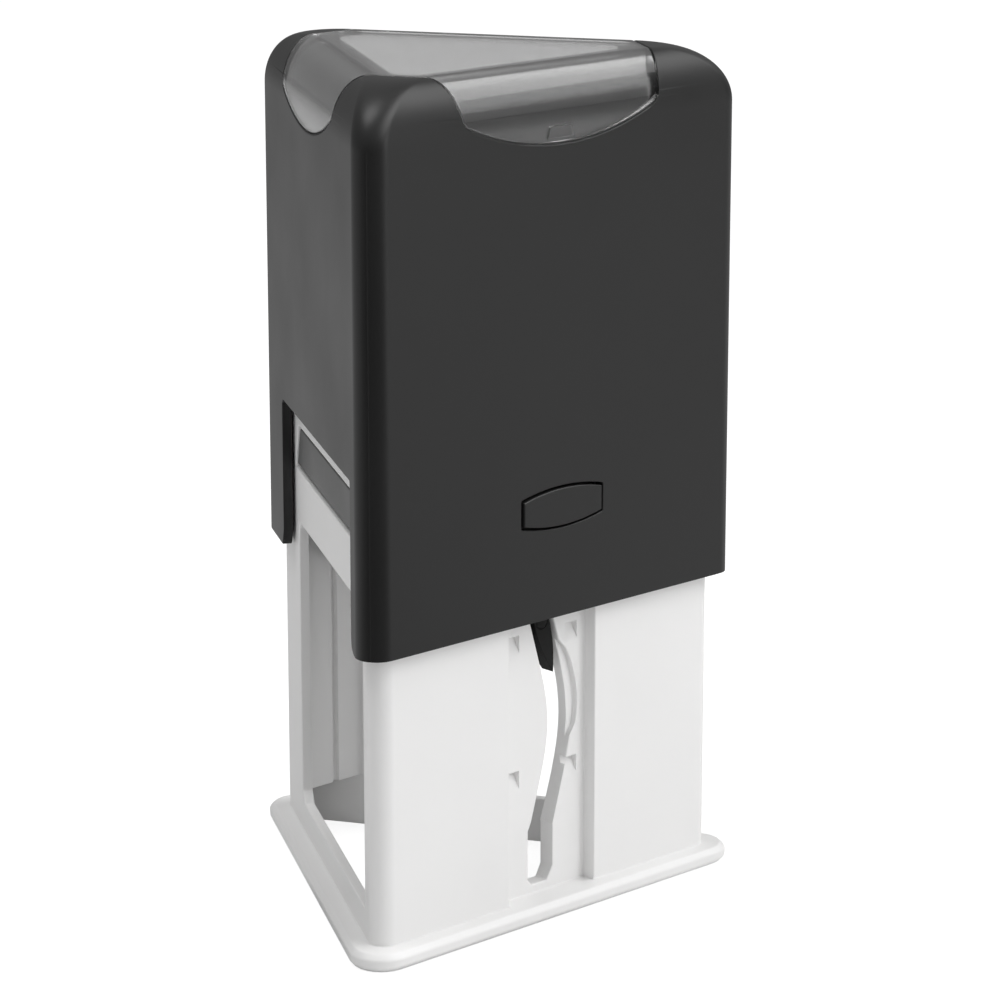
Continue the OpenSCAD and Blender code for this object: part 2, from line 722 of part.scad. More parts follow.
// Prong whose slanted tip goes into a lock notch
module button_prong(n) {
    w = lock_w / 2 - part_gap;
    h = lock_h / 2 - part_gap;
    slope = lock_d / lock_h;
    tip = floor_y - button_throw - part_gap + lock_d / 2;
    along_x(lock_x - w, lock_x + w) polygon([[-n, prong_z - h], [tip - slope * h, prong_z - h],
        [tip + slope * h, prong_z + h], [-n, prong_z + h]]);
}

module slab(z0, z1) {
    translate([0, 0, z0]) linear_extrude(z1 - z0) children();
}

// Ink pad tray, open below
module pad_tray() {
    color(dark_grey) centred() difference() {
        slab(pad_low, pad_top) polygon(tray_outline());
        slab(pad_low - 1, pad_top - tray_top) polygon(felt_plan(0));
        mirror([1, 0, 0]) rotate([0, 0, 120]) face_prism(inner_rho, frame_rho) tray_end_cut();
    }
}

// Trims the end of the tray's plate to the slanted end of its slot
module tray_end_cut() {
    low = pad_low - 1;
    top = pad_top + 1;
    polygon([[pad_slot_end(low) - tray_end, low], [plate_s + 1, low], [plate_s + 1, top],
        [pad_slot_end(top) - tray_end, top]]);
}

module pad_felt() {
    color([0.12, 0.1, 0.25]) centred() slab(pad_low + felt_sink, pad_top - tray_top)
        polygon(felt_plan(felt_gap));
}

// Carrier of the printing plate, turned with the plate up
module platen_carrier() {
    color(black) centred() difference() {
        union() {
            difference() {
                tri(die_rho, die_r, plate_low, plate_top);
                box(-band_open_x, band_open_x, date_front, date_rear, plate_low - 1, plate_top + 1);
            }
            end_wall(front_wall_hw, -die_rho, front_wall_drop);
            end_wall(rear_wall_hw, rear_wall_y, rear_wall_drop);
            both_halves() cheek();
        }
        rod_x(date_axle_r + seat_gap, date_z, die_open_x + 1);
        rod_y(journal_r + seat_gap, 0, axle_z, rear_wall_y - 1, rear_wall_y + end_t + 1);
    }
}

module end_wall(hw, y, drop) {
    box(-hw, hw, y, y + end_t, axle_z - drop, plate_low + sink);
}

module cheek() {
    hw = band_open_y - cheek_in;
    top = band_end_z + band_top_r - band_t;
    box(cheek_x, cheek_x + cheek_t, -date_fore - hw, hw - date_fore, date_z, top);
    translate([cheek_x, -date_fore, date_z]) rotate([0, 90, 0]) cylinder(r = hw, h = cheek_t, $fn = 48);
}

module crank_disc() {
    color(dark_grey) centred() {
        rod_y(disc_r, 0, axle_z, arm_y, -die_rho);
        rod_y(pin_r, 0, pin_z, floor_y + shoe_gap, arm_y + sink);
    }
}

module rear_journal() {
    color(steel) centred() rod_y(journal_r, 0, axle_z, rear_wall_y, rear_back);
}

module plate_layer(z0, z1) {
    difference() {
        tri(die_rho, die_r, z0, z1);
        box(-die_open_x, die_open_x, date_front, date_rear, z0 - 1, z1 + 1);
    }
}

module die_cushion() {
    color([0.35, 0.35, 0.34]) centred() plate_layer(plate_top, plate_top + cushion_t);
}

module text_die() {
    color(rubber) centred() plate_layer(plate_top + cushion_t, axle_z + die_h);
}

module band_bridge() {
    color(black) centred() rod_x(band_top_r - band_t - seat_gap, band_end_z, band_open_x);
}

module date_axle() {
    color(steel) centred() rod_x(date_axle_r, date_z, cheek_x + cheek_t);
}

// Turns a shape to stand along X
module across(x, z) {
    translate([x, -date_fore, z]) rotate([90, 0, 90]) children();
}

// A date band from x, on a drum w wide
module band(x, w) {
    color(rubber) centred() across(x, 0) linear_extrude(w - band_side) difference() {
        polygon(loop(band_r, band_top_r));
        polygon(loop(band_r - band_t, band_top_r - band_t));
    }
}

// A date wheel from x, with a drum w wide
module wheel(x, w) {
    color(white) centred() across(x, date_z) difference() {
        union() {
            cylinder(r = drum_r, h = w + sink, $fn = 48);
            translate([0, 0, w]) linear_extrude(rim_t) polygon(rim_outline());
        }
        translate([0, 0, -1]) cylinder(r = date_axle_r + fit_gap, h = w + rim_t + 2, $fn = 48);
    }
}

module day_band() {
    band(day_x, day_w);
}

module month_band() {
    band(month_x, month_w);
}

module decade_band() {
    band(decade_x, decade_w);
}

module year_band() {
    band(year_x, year_w);
}

module day_wheel() {
    wheel(day_x, day_w);
}

module month_wheel() {
    wheel(month_x, month_w);
}

module decade_wheel() {
    wheel(decade_x, decade_w);
}

module year_wheel() {
    wheel(year_x, year_w);
}

// Pointed shoe that runs in the cam slot
module cam_shoe() {
    big = (shoe_l * shoe_l + shoe_hw * shoe_hw) / (2 * shoe_hw);
    t = floor_t - 2 * shoe_gap;
    y = floor_y + shoe_gap;
    color(black) centred() translate([0, y, pin_z]) rotate([-90, -slot_tilt, 0]) difference() {
        intersection() {
            translate([big - shoe_hw, 0, 0]) cylinder(r = big, h = t, $fn = 96);
            translate([shoe_hw - big, 0, 0]) cylinder(r = big, h = t, $fn = 96);
        }
        translate([0, 0, -1]) cylinder(r = pin_r + fit_gap, h = t + 2, $fn = 32);
    }
}

base_frame();
return_spring();
housing();
yoke();
index_card();
index_window();
lock_button();
pad_tray();
pad_felt();
platen_carrier();
crank_disc();
rear_journal();
die_cushion();
text_die();
band_bridge();
date_axle();
day_band();
month_band();
decade_band();
year_band();
day_wheel();
month_wheel();
decade_wheel();
year_wheel();
cam_shoe();
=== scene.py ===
"""Looks of a three-sided self-inking date stamp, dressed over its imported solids.

Sizes are in millimetres about the housing's centre line, and part_point() turns them into metres.
The camera and the studio are in metres and degrees.
"""

import json
import math

import bmesh
import bpy
from mathutils import Matrix, Vector
from mathutils.kdtree import KDTree


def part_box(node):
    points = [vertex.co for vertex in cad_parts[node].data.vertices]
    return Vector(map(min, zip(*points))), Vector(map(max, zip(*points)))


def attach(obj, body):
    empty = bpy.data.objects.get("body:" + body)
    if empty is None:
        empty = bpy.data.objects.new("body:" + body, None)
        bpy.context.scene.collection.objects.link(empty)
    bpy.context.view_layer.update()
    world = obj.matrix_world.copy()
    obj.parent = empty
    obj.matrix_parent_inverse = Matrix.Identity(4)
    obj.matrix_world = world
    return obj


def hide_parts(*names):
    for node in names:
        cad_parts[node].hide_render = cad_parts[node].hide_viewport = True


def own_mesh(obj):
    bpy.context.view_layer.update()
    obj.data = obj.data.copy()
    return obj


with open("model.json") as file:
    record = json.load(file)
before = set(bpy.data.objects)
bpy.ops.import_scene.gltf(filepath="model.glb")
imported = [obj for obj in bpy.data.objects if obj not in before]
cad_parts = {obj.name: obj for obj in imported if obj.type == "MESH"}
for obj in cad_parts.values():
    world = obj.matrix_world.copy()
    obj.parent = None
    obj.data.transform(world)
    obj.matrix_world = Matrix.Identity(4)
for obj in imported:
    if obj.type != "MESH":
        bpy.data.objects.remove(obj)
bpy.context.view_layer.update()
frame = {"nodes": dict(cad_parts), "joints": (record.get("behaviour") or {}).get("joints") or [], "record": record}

MM = 0.001
ROOT3 = math.sqrt(3)

# Camera of the photograph
CAMERA_AT = (-0.3454, -0.38245, 0.18594)
CAMERA_TURN = -43.38
CAMERA_TILT = 14.48
PICTURE_LENS = 138.56
SENSOR = 36
CLIP_NEAR = 0.01
CLIP_FAR = 20

# Housing: plan, rounded top and walls
HOUSING_WIDTH = 66.77
HOUSING_R = 2.9
HOUSING_TOP_R = 4.6
HOUSING_RHO = (HOUSING_WIDTH / 2 - HOUSING_R) / ROOT3 + HOUSING_R
HOUSING_WALL = 1.4
DOME_A = 4.8
DOME_B = 7.9
CAVITY_RHO = HOUSING_RHO - HOUSING_WALL
CAVITY_R = HOUSING_R - HOUSING_WALL
CROWN_WALL = 1.2
CROWN_STEP = 1.2
CROWN_R = 1.0
CROWN_TOP_R = 1.5
CROWN_DROP = 1.0
ROOF_T = 1.3

# Heights and the middle of the base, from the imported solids
MID_Y = -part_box("housing")[0].y / MM - HOUSING_RHO
HOUSE_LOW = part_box("housing")[0].z / MM
TOP_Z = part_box("index_window")[1].z / MM
SPRING_BOSS_H = 2.0
FRAME_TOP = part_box("base_frame")[1].z / MM - SPRING_BOSS_H
TRAVEL = next(j for j in frame["joints"] if j["name"] == "press")["range_m"][1] / MM

# Clear window over the index card
WINDOW_T = 1.4
WINDOW_GAP = 0.25
POCKET_CLEAR = 0.15
POCKET_T = WINDOW_T + POCKET_CLEAR
CORNER_CUT = 15.7
WINDOW_CORNER = 2 * HOUSING_RHO - CORNER_CUT
LIP_DROP = 9.9
LIP_ARC = 41.0
LIP_END_R = 1.6
LIP_START = 0.3
LIP_SPARE = 1.2
CARD_T = 0.3
CARD_INSET = 8.0
CARD_RHO = HOUSING_RHO - CARD_INSET
CARD_GAP = 0.15
CARD_Z = TOP_Z - POCKET_T - CARD_T
HOUSE_ROOF = CARD_Z - ROOF_T
CATCH_W = 4.9
CATCH_H = 1.6
CATCH_TAPER = 0.8
CATCH_RISE = 0.5
CATCH_DEPTH = 0.55

# Side notches, button opening and guide feet of the housing
REAR_LEG_W = 14.91
FRONT_LEG_W = 7.71
NOTCH_REAR = ROOT3 * HOUSING_RHO - REAR_LEG_W
NOTCH_FRONT = ROOT3 * HOUSING_RHO - FRONT_LEG_W
NOTCH_DROP = 0.5
NOTCH_TOP = FRAME_TOP - NOTCH_DROP
LEG_CHAMFER = 1.2
LEG_LIFT = 1.4
LEG_R = 1.8
BUTTON_HW = 7.2
BUTTON_HE = 1.65
BUTTON_HM = 2.55
BUTTON_RISE = 15.1
BUTTON_Z = HOUSE_LOW + BUTTON_RISE
BUTTON_GAP = 0.3
FOOT_OUT = 7.6
FOOT_W = 3.0
FOOT_H = 7.4
FOOT_RISE = 0.6
FOOT_BACK = 17.1
FOOT_ROOT = 0.3
SEAM_W = 0.36
SEAM_D = 0.06

# Printing plate and date bands
DIE_RHO = 12.3
DIE_R = 3.5
DIE_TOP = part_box("text_die")[1].z / MM
DIE_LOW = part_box("text_die")[0].z / MM
DIE_RELIEF = 0.5
DIE_BORDER = 0.9
DIE_OPEN_Y = (-7.0, 1.0)
DIE_RIM = 1.4
DIE_OPEN_X = (2 * (DIE_RHO - DIE_RIM) - DIE_OPEN_Y[1]) / ROOT3
DATE_Y = -3.0
AXLE_R = 1.2
DATE_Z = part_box("date_axle")[0].z / MM + AXLE_R
BAND_T = 0.6
BAND_END_R = 2.3
BAND_DRUM_R = 5.35
BAND_END_Z = DIE_TOP - BAND_END_R
DIGIT_RELIEF = 0.25
DIGIT_SIZE = 4.2
DATE_TEXT = {"day_band": "24", "month_band": "05", "decade_band": "2", "year_band": "6"}
LINE_LENGTH = 9.0
LINE_W = 1.1
LINE_PITCH = 2.4
LINE_FROM = 3.6
LINE_COUNT = 3
LINE_ROOT = 0.1

# Return spring
SPRING_R = 7.6
WIRE_R = 0.45
SPRING_TURNS = 7
SEAT_GAP = 0.02
SPRING_LOW = FRAME_TOP + WIRE_R + SEAT_GAP
YOKE_BRIDGE_T = 2.9
BRIDGE_LOW = HOUSE_ROOF - YOKE_BRIDGE_T
SPRING_HIGH = BRIDGE_LOW - WIRE_R - SEAT_GAP

# Finish and edge rounding of the solids that keep their shape
FINISHES = {
    "base_frame": ("white_plastic", 0.22),
    "lock_button": ("black_plastic", 0.22),
    "yoke": ("black_inner_plastic", 0.2),
    "index_card": ("card", 0.04),
    "pad_tray": ("grey_plastic", 0.2),
    "pad_felt": ("ink_felt", 0.25),
    "platen_carrier": ("black_inner_plastic", 0.15),
    "crank_disc": ("black_inner_plastic", 0.12),
    "rear_journal": ("spring_steel", 0.12),
    "die_cushion": ("foam", 0.1),
    "band_bridge": ("black_inner_plastic", 0.1),
    "date_axle": ("spring_steel", 0.1),
    "day_wheel": ("wheel_plastic", 0.1),
    "month_wheel": ("wheel_plastic", 0.1),
    "decade_wheel": ("wheel_plastic", 0.1),
    "year_wheel": ("wheel_plastic", 0.1),
    "cam_shoe": ("black_inner_plastic", 0.06),
}

# Studio: lamps as azimuth, elevation, distance, size and power, then the fill, the sky and the floor
KEY = (-33, 49, 1.0, (0.8, 0.64), 3.9)
FRONT = (-75, 40, 1.0, (0.6, 0.6), 2.8)
LOW = (-66, 5, 1.0, (0.2, 0.3), 0.8)
SIDE = (150, 70, 1.0, (0.5, 0.5), 3.2)
LAMP_AIM_Z = 0.06
FILL = 0.36
SKY_FRONT = 0.06
SKY_BACK = 0.26
SKY_HIGH = 0.3
SKY_TURN = 0.3
SKY_RISE = 0.5
SKY_CLEAR = 0.3
FLOOR_HALF = 3.0
FLOOR_BOUNCE = 0.85
FLOOR_SHADE = 0.3
FLOOR_GLOW = 0.86
FLOOR_NEAR = 0.25
FLOOR_FAR = 2.2
FLOOR_FAR_LEVEL = 0.3
FLOOR_MIRROR = 0.6
DARK_SIDE = (-0.687, -0.727, 0)
DARK_FROM = 0.2
DARK_FULL = 0.75
DARK_LEVEL = 0.08

# Clear window: the floor behind it, darker close to the stamp as painted shade and white further off, and the
# light it passes
THROUGH_NEAR = 0.14
THROUGH_FAR = 0.34
THROUGH_SHADE = 0.08
CLEAR_TINT = 0.98

# Fineness of the curved forms, and how far a cutting tool reaches past what it cuts
ARC_N = 20
DOME_N = 40
LIP_N = 28
LIP_END_N = 8
LEG_N = 8
BUTTON_N = 12
BAND_N = 24
COIL_N = 40
WIRE_N = 12
CUT_OVER = 1.0

# Rounded edges: widths, steps, what counts as double, flat and sharp, and how crowded edges are eased
HOUSING_EDGE = 0.16
DIE_EDGE = 0.08
BAND_EDGE = 0.05
EDGE_STEPS = 3
FINE_STEPS = 2
NODE_WELD = 0.001
EDGE_WELD = 0.004
FLAT_ANGLE = 0.6
SHARP_ANGLE = 32
EASE_ROUNDS = 12
EASE_REACH = 4

# Shared grain of the materials
GRAIN_DETAIL = 3
DRIFT_DETAIL = 4
DRIFT_RANGE = (0.3, 0.7)


def part_point(x, y, z):
    return Vector((x * MM, (y - MID_Y) * MM, z * MM))


def link(obj):
    bpy.context.scene.collection.objects.link(obj)
    return obj


def mesh_object(name, bm):
    mesh = bpy.data.meshes.new(name)
    bm.normal_update()
    bm.to_mesh(mesh)
    bm.free()
    return link(bpy.data.objects.new(name, mesh))


def face_outwards(mesh, weld=0.0):
    """Turns the faces outwards, after merging the doubles that lie within the weld."""
    bm = bmesh.new()
    bm.from_mesh(mesh)
    if weld:
        bmesh.ops.remove_doubles(bm, verts=bm.verts, dist=weld * MM)
    bmesh.ops.recalc_face_normals(bm, faces=bm.faces)
    bm.to_mesh(mesh)
    bm.free()


def bake(obj):
    """Puts what the modifiers make into a plain mesh."""
    graph = bpy.context.evaluated_depsgraph_get()
    mesh = bpy.data.meshes.new_from_object(obj.evaluated_get(graph))
    obj.modifiers.clear()
    obj.data = mesh
    return obj


def boolean(obj, tool, operation):
    modifier = obj.modifiers.new("boolean", "BOOLEAN")
    modifier.operation = operation
    modifier.solver = "EXACT"
    modifier.object = tool
    bake(obj)
    bpy.data.objects.remove(tool)
    return obj


def folded_places(obj):
    """Middles of the faces that a rounding has turned over."""
    mesh = obj.evaluated_get(bpy.context.evaluated_depsgraph_get()).data
    places = []
    for face in mesh.polygons:
        shade = Vector((0, 0, 0))
        for i in face.loop_indices:
            shade += mesh.corner_normals[i].vector
        if face.normal.dot(shade) < 0:
            places.append(face.center.copy())
    return places


def ease_edges(obj, places, reach):
    """Halves the rounding of the edges beside the given places."""
    near = KDTree(len(places))
    for i, place in enumerate(places):
        near.insert(place, i)
    near.balance()
    weights = obj.data.attributes["bevel_weight_edge"].data
    points = obj.data.vertices
    for edge in obj.data.edges:
        if weights[edge.index].value == 0:
            continue
        a, b = (points[i].co for i in edge.vertices)
        if min(near.find(p)[2] for p in (a, b, (a + b) / 2)) < reach:
            weights[edge.index].value *= 0.5


def round_edges(obj, width, steps=EDGE_STEPS, formed=False):
    """Rounds the sharp edges, less where they crowd, and shades the flat faces flat.

    A shell that was formed here keeps its wide faces until then. Other pieces are split into triangles first.
    """
    bm = bmesh.new()
    bm.from_mesh(obj.data)
    bmesh.ops.remove_doubles(bm, verts=bm.verts, dist=EDGE_WELD * MM)
    bmesh.ops.dissolve_limit(bm, angle_limit=math.radians(FLAT_ANGLE), verts=bm.verts, edges=bm.edges)
    if not formed:
        bmesh.ops.triangulate(bm, faces=bm.faces)
    weight = bm.edges.layers.float.new("bevel_weight_edge")
    for edge in bm.edges:
        if edge.is_manifold and edge.calc_face_angle() > math.radians(SHARP_ANGLE):
            edge[weight] = 1
    bm.to_mesh(obj.data)
    bm.free()
    obj.data.shade_smooth()
    bevel = obj.modifiers.new("edges", "BEVEL")
    bevel.width = width * MM
    bevel.segments = steps
    bevel.limit_method = "WEIGHT"
    bevel.use_clamp_overlap = False
    bevel.loop_slide = False
    bevel.miter_outer = "MITER_ARC" if formed else "MITER_SHARP"
    split = obj.modifiers.new("triangles", "TRIANGULATE")
    split.min_vertices = 4
    normals = obj.modifiers.new("normals", "WEIGHTED_NORMAL")
    normals.weight = 50
    for _ in range(EASE_ROUNDS):
        places = folded_places(obj)
        if not places:
            break
        ease_edges(obj, places, EASE_REACH * width * MM)
    return bake(obj)


# Plan shapes and solids of the housing


def plan_points(rho, r):
    points = []
    for corner in (90, 210, 330):
        middle = 2 * (rho - r)
        cx = middle * math.cos(math.radians(corner))
        cy = middle * math.sin(math.radians(corner))
        for i in range(ARC_N + 1):
            a = math.radians(corner - 60 + 120 * i / ARC_N)
            points.append((cx + r * math.cos(a), cy + r * math.sin(a)))
    return points


def loft(name, rings):
    """Closed form through three-sided rings of distance to face, corner radius and height."""
    bm = bmesh.new()
    loops = []
    for rho, r, z in rings:
        loops.append([bm.verts.new(part_point(x, y, z)) for x, y in plan_points(rho, r)])
    for lower, upper in zip(loops, loops[1:]):
        for i in range(len(lower)):
            j = (i + 1) % len(lower)
            bm.faces.new((lower[i], lower[j], upper[j], upper[i]))
    bm.faces.new(loops[0][::-1])
    bm.faces.new(loops[-1])
    return mesh_object(name, bm)


def dome_rings(rho, r, top_r, top, a, b):
    rings = []
    for i in range(DOME_N + 1):
        p = math.radians(90 * i / DOME_N)
        bend = 1 - math.cos(p)
        rings.append((rho - a * bend, r + (top_r - r) * bend, top - b * (1 - math.sin(p))))
    return rings


def outer_form(name, inset, low):
    """Outside of the housing, set in by a wall."""
    rho = HOUSING_RHO - inset
    rings = dome_rings(rho, HOUSING_R - inset, HOUSING_TOP_R - inset, TOP_Z - inset, DOME_A, DOME_B)
    return loft(name, [(rho, HOUSING_R - inset, low)] + rings)


def prism(name, outline, place):
    """Closed prism whose two ends are the outline put in place at 0 and at 1."""
    bm = bmesh.new()
    near = [bm.verts.new(place(u, v, 0)) for u, v in outline]
    far = [bm.verts.new(place(u, v, 1)) for u, v in outline]
    bm.faces.new(near)
    bm.faces.new(far[::-1])
    for i in range(len(outline)):
        j = (i + 1) % len(outline)
        bm.faces.new((near[i], far[i], far[j], near[j]))
    bmesh.ops.recalc_face_normals(bm, faces=bm.faces)
    return mesh_object(name, bm)


def face_prism(name, outline, n0, n1, turn=0, mirrored=False, lean=0):
    """Prism standing on a face: the front at 0 degrees, the rear ones at 120, one of them mirrored."""
    c = math.cos(math.radians(turn))
    s = math.sin(math.radians(turn))

    def place(u, v, end):
        n = n0 + (n1 - n0) * end
        u = u + lean * (n - HOUSING_RHO)
        x = c * u + s * n
        y = s * u - c * n
        return part_point(-x if mirrored else x, y, v)

    return prism(name, outline, place)


def slab(name, outline, z0, z1):
    return prism(name, outline, lambda x, y, end: part_point(x, y, z0 + (z1 - z0) * end))


def box_outline(u0, u1, v0, v1):
    return [(u0, v0), (u1, v0), (u1, v1), (u0, v1)]


# Window region, shared by the clear window and its pocket


def lip_outline(grow):
    half = (WINDOW_CORNER - HOUSING_RHO / 2) * LIP_SPARE
    r = LIP_ARC + grow
    middle = TOP_Z - LIP_DROP + LIP_ARC
    arc = []
    for i in range(-LIP_N, LIP_N + 1):
        s = half * i / LIP_N
        arc.append((s, middle - math.sqrt(r * r - s * s)))
    top = TOP_Z + LIP_DROP / 2
    return arc + [(half, top), (-half, top)]


def lip_end_outline(grow, side):
    """What the rounded lower end takes off a lip's corner."""
    r = LIP_END_R + grow
    sc = (WINDOW_CORNER - HOUSING_RHO / 2) * 2 / ROOT3 - LIP_END_R
    drop = math.sqrt((LIP_ARC - LIP_END_R) ** 2 - sc * sc)
    zc = TOP_Z - LIP_DROP + LIP_ARC - drop
    last = math.atan2(-drop, sc)
    arc = []
    for i in range(LIP_END_N + 1):
        a = last * i / LIP_END_N
        arc.append((sc + r * math.cos(a), zc + r * math.sin(a)))
    out = sc + r + 3 * CUT_OVER
    low = zc - r - 3 * CUT_OVER
    points = arc + [(sc + 1.5 * r * math.cos(last), low), (out, low), (out, zc)]
    return [(side * s, z) for s, z in points]


def window_region(name, grow):
    wide = 2 * HOUSING_RHO
    region = loft(name, [(wide, 1, TOP_Z - LIP_DROP / 2), (wide, 1, TOP_Z + 5 * CUT_OVER)])
    near = WINDOW_CORNER / 2 + LIP_START
    far = HOUSING_RHO + LIP_DROP / 2
    for turn in (0, 120, 240):
        boolean(region, face_prism("lip", lip_outline(grow), near, far, turn), "UNION")
    corners = []
    for a in (30, 150, 270):
        reach = 2 * (WINDOW_CORNER + grow)
        corners.append((reach * math.cos(math.radians(a)), reach * math.sin(math.radians(a))))
    boolean(region, slab("corners", corners, TOP_Z - 2 * LIP_DROP, TOP_Z + LIP_DROP), "INTERSECT")
    for turn in (0, 120, 240):
        for side in (-1, 1):
            outline = lip_end_outline(grow, side)
            tool = face_prism("lip_end", outline, near, far + CUT_OVER, turn, lean=-side / ROOT3)
            boolean(region, tool, "DIFFERENCE")
    return region


def make_window():
    window = outer_form("clear_window", 0, TOP_Z - 2 * LIP_DROP)
    boolean(window, outer_form("inside", WINDOW_T, TOP_Z - 3 * LIP_DROP), "DIFFERENCE")
    boolean(window, window_region("region", 0), "INTERSECT")
    low = TOP_Z - LIP_DROP + CATCH_RISE
    half = CATCH_W / 2
    slim = CATCH_TAPER * half
    catch = [(-half, low), (half, low), (slim, low + CATCH_H), (-slim, low + CATCH_H)]
    inner = HOUSING_RHO - WINDOW_T
    boolean(window, face_prism("catch", catch, inner - CUT_OVER, inner + CATCH_DEPTH), "DIFFERENCE")
    return round_edges(window, HOUSING_EDGE, formed=True)


def side_notch_outline():
    foot = HOUSE_LOW + LEG_LIFT
    low = HOUSE_LOW - CUT_OVER
    far = ROOT3 * HOUSING_RHO
    knee = (-NOTCH_FRONT - LEG_R, HOUSE_LOW + LEG_R)
    c = LEG_CHAMFER
    points = [(knee[0], low), (far, low), (far, foot), (NOTCH_REAR + c, foot), (NOTCH_REAR, foot + 2 * c),
              (NOTCH_REAR, NOTCH_TOP - c / 2), (NOTCH_REAR - c / 2, NOTCH_TOP), (-NOTCH_FRONT, NOTCH_TOP)]
    for i in range(LEG_N + 1):
        a = math.radians(-90 * i / LEG_N)
        points.append((knee[0] + LEG_R * math.cos(a), knee[1] + LEG_R * math.sin(a)))
    return points


def button_outline(grow):
    points = []
    for sign in (1, -1):
        for i in range(-BUTTON_N, BUTTON_N + 1):
            t = i / BUTTON_N
            rise = BUTTON_HM + grow - (BUTTON_HM - BUTTON_HE) * t * t
            points.append((-sign * (BUTTON_HW + grow) * t, BUTTON_Z + sign * rise))
    return points


def cavity_form():
    crown_rho = HOUSING_RHO - POCKET_T - CROWN_WALL
    step = FRAME_TOP + TRAVEL + BUTTON_GAP
    rings = [(CAVITY_RHO, CAVITY_R, HOUSE_LOW - CUT_OVER), (CAVITY_RHO, CAVITY_R, step),
             (crown_rho, CROWN_R, step + CROWN_STEP)]
    crown = dome_rings(crown_rho, CROWN_R, CROWN_TOP_R, HOUSE_ROOF, DOME_A, DOME_B - CROWN_DROP)
    return loft("cavity", rings + crown)


def parting_groove(turn):
    """Fine mould line down a corner of the housing, a shallow groove."""
    reach = 2 * HOUSING_RHO - HOUSING_R
    c = math.cos(math.radians(turn))
    s = math.sin(math.radians(turn))
    outline = []
    for u, n in ((0, reach - SEAM_D), (SEAM_W, reach + SEAM_D), (-SEAM_W, reach + SEAM_D)):
        outline.append((c * u + s * n, s * u - c * n))
    return slab("seam", outline, HOUSE_LOW - CUT_OVER, TOP_Z - DOME_B)


def make_housing():
    housing = outer_form("black_housing", 0, HOUSE_LOW)
    boolean(housing, cavity_form(), "DIFFERENCE")
    pocket = window_region("pocket", WINDOW_GAP)
    boolean(pocket, outer_form("bed", POCKET_T, HOUSE_LOW), "DIFFERENCE")
    boolean(housing, pocket, "DIFFERENCE")
    rho = CARD_RHO + CARD_GAP
    boolean(housing, loft("card_bed", [(rho, HOUSING_R, CARD_Z), (rho, HOUSING_R, TOP_Z)]), "DIFFERENCE")
    outside = HOUSING_RHO + CUT_OVER
    for mirrored in (False, True):
        inside = CAVITY_RHO - 2 * CUT_OVER
        notch = face_prism("notch", side_notch_outline(), inside, outside, 120, mirrored)
        boolean(housing, notch, "DIFFERENCE")
    hole = face_prism("hole", button_outline(BUTTON_GAP), CAVITY_RHO - CUT_OVER, outside)
    boolean(housing, hole, "DIFFERENCE")
    for turn in (-60, 60):
        boolean(housing, parting_groove(turn), "DIFFERENCE")
    low = HOUSE_LOW + FOOT_RISE
    for side in (-1, 1):
        outline = box_outline(side * FOOT_OUT, side * (FOOT_OUT - FOOT_W), low, low + FOOT_H)
        boolean(housing, face_prism("foot", outline, FOOT_BACK, CAVITY_RHO + FOOT_ROOT), "UNION")
    return round_edges(housing, HOUSING_EDGE, formed=True)


# Printing plate, bands and spring


def make_text_die():
    face = DIE_TOP - DIE_RELIEF
    die = loft("text_die_rubber", [(DIE_RHO, DIE_R, DIE_LOW), (DIE_RHO, DIE_R, DIE_TOP)])
    inner = DIE_RHO - DIE_BORDER
    inner_r = DIE_R - DIE_BORDER
    above = DIE_TOP + CUT_OVER
    boolean(die, loft("relief", [(inner, inner_r, face), (inner, inner_r, above)]), "DIFFERENCE")
    outline = box_outline(-DIE_OPEN_X, DIE_OPEN_X, *DIE_OPEN_Y)
    boolean(die, slab("date_opening", outline, DIE_LOW - CUT_OVER, above), "DIFFERENCE")
    return round_edges(die, DIE_EDGE, FINE_STEPS)


def node_tree(name, inputs):
    tree = bpy.data.node_groups.new(name, "GeometryNodeTree")
    for label, kind in inputs:
        tree.interface.new_socket(label, in_out="INPUT", socket_type=kind)
    tree.interface.new_socket("Geometry", in_out="OUTPUT", socket_type="NodeSocketGeometry")
    return tree, tree.nodes.new("NodeGroupInput"), tree.nodes.new("NodeGroupOutput")


def end_tree(tree, given, made, out):
    """Realizes the result and gives it the tree's material."""
    real = tree.nodes.new("GeometryNodeRealizeInstances")
    paint = tree.nodes.new("GeometryNodeSetMaterial")
    tree.links.new(made, real.inputs["Geometry"])
    tree.links.new(real.outputs["Geometry"], paint.inputs["Geometry"])
    tree.links.new(given.outputs["Material"], paint.inputs["Material"])
    tree.links.new(paint.outputs["Geometry"], out.inputs["Geometry"])


def grow_tree(name, tree, values):
    """Mesh object made by a geometry tree with its inputs set by identifier."""
    obj = link(bpy.data.objects.new(name, bpy.data.meshes.new(name)))
    modifier = obj.modifiers.new("tree", "NODES")
    modifier.node_group = tree
    for item in tree.interface.items_tree:
        if item.in_out == "INPUT":
            modifier[item.identifier] = values[item.name]
    return bake(obj)


